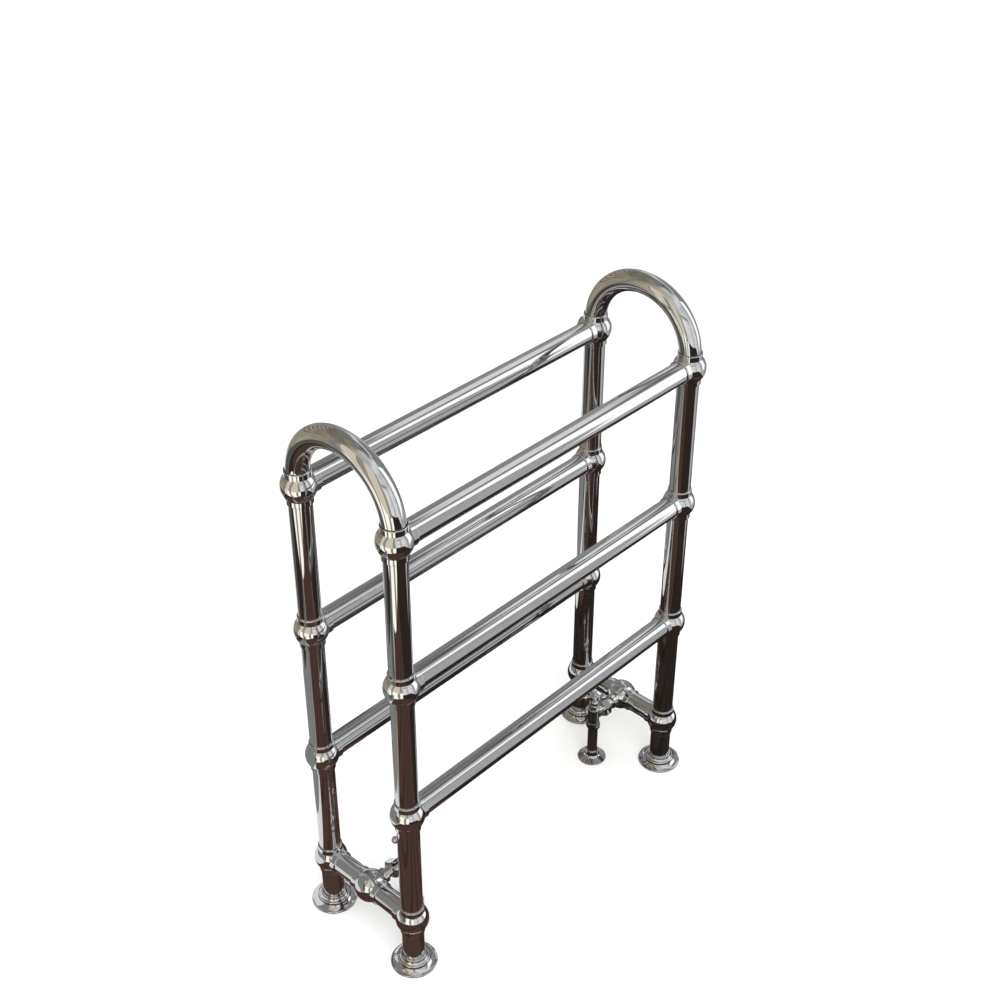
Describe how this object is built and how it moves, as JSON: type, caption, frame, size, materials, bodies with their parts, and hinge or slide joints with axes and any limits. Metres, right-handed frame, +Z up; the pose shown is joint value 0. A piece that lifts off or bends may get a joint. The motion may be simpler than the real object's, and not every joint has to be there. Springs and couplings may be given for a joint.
{
  "type": "towel warmer rack",
  "caption": "Free-standing floor towel warmer of chromed ball-jointed tube: two arched end frames, front and back rails, fed by angle valves.",
  "frame": {"origin": "on the floor, under the middle of the rails", "axes": "+Z up, +X along the rails to the right-hand end, +Y to the back"},
  "size_m": [0.6992, 0.2632, 0.9494],
  "materials": {
    "chromed_tube": "drawn brass tube, polished and chromium plated",
    "chromed_casting": "turned hot brass stamping, polished and chromium plated",
    "chromed_fitting": "turned brass valve parts, chromium plated",
    "bare_brass": "turned brass, unplated",
    "rubber_seal": "moulded EPDM rubber"
  },
  "bodies": {
    "root": {"arch_left": "chromed_tube", "arch_right": "chromed_tube", "ball_joint_base_back_left": "chromed_casting", "ball_joint_base_back_right": "chromed_casting", "ball_joint_base_front_left": "chromed_casting", "ball_joint_base_front_right": "chromed_casting", "ball_joint_lower_back_left": "chromed_casting", "ball_joint_lower_back_right": "chromed_casting", "ball_joint_lower_front_left": "chromed_casting", "ball_joint_lower_front_right": "chromed_casting", "ball_joint_middle_back_left": "chromed_casting", "ball_joint_middle_back_right": "chromed_casting", "ball_joint_middle_front_left": "chromed_casting", "ball_joint_middle_front_right": "chromed_casting", "ball_joint_top_back_left": "chromed_casting", "ball_joint_top_back_right": "chromed_casting", "ball_joint_top_front_left": "chromed_casting", "ball_joint_top_front_right": "chromed_casting", "base_cross_tubes": "chromed_tube", "base_tee_left": "chromed_casting", "base_tee_right": "chromed_casting", "floor_roses": "chromed_casting", "foot_flange_back_left": "chromed_casting", "foot_flange_back_right": "chromed_casting", "foot_flange_front_left": "chromed_casting", "foot_flange_front_right": "chromed_casting", "pipe_nuts": "chromed_fitting", "pipe_olives": "bare_brass", "pipe_sleeves": "chromed_tube", "post_tubes_back_left": "chromed_tube", "post_tubes_back_right": "chromed_tube", "post_tubes_front_left": "chromed_tube", "post_tubes_front_right": "chromed_tube", "rail_lower_back": "chromed_tube", "rail_lower_front": "chromed_tube", "rail_middle_back": "chromed_tube", "rail_middle_front": "chromed_tube", "rail_top_back": "chromed_tube", "rail_top_front": "chromed_tube", "spindle_seals": "rubber_seal", "supply_pipes": "chromed_tube", "union_nuts": "chromed_fitting", "valve_body_left": "chromed_fitting", "valve_body_right": "chromed_fitting", "valve_bonnet_left": "chromed_fitting", "valve_bonnet_right": "chromed_fitting", "valve_tail_left": "chromed_fitting", "valve_tail_right": "chromed_fitting", "vent_plug": "chromed_fitting"},
    "left_jumper": {"valve_jumper_left": "bare_brass", "seat_washer_left": "rubber_seal"},
    "left_handle": {"valve_spindle_left": "bare_brass", "valve_handle_left": "chromed_fitting", "handle_screw_left": "chromed_fitting"},
    "right_jumper": {"valve_jumper_right": "bare_brass", "seat_washer_right": "rubber_seal"},
    "right_handle": {"valve_spindle_right": "bare_brass", "valve_handle_right": "chromed_fitting", "handle_screw_right": "chromed_fitting"},
    "bleed_screw": {"vent_screw": "chromed_fitting"}
  },
  "joints": [
    {"name": "left_valve_rise", "type": "slide", "parent": "root", "child": "left_jumper", "axis": [0, 0, 1], "range_m": [0, 0.003]},
    {"name": "left_valve_turn", "type": "hinge", "parent": "left_jumper", "child": "left_handle", "pos_m": [-0.2345, 0, 0.143], "axis": [0, 0, 1], "range_deg": [0, 720]},
    {"name": "right_valve_rise", "type": "slide", "parent": "root", "child": "right_jumper", "axis": [0, 0, 1], "range_m": [0, 0.003]},
    {"name": "right_valve_turn", "type": "hinge", "parent": "right_jumper", "child": "right_handle", "pos_m": [0.2345, 0, 0.143], "axis": [0, 0, 1], "range_deg": [0, 720]},
    {"name": "bleed_turn", "type": "hinge", "parent": "root", "child": "bleed_screw", "pos_m": [0.3125, 0.1215, 0.8215], "axis": [0, 1, 0], "range_deg": [0, 360]}
  ],
  "couplings": [
    {"joint": "left_valve_turn", "follows": "left_valve_rise", "rad_per_m": 4188.8},
    {"joint": "right_valve_turn", "follows": "right_valve_rise", "rad_per_m": 4188.8}
  ]
}
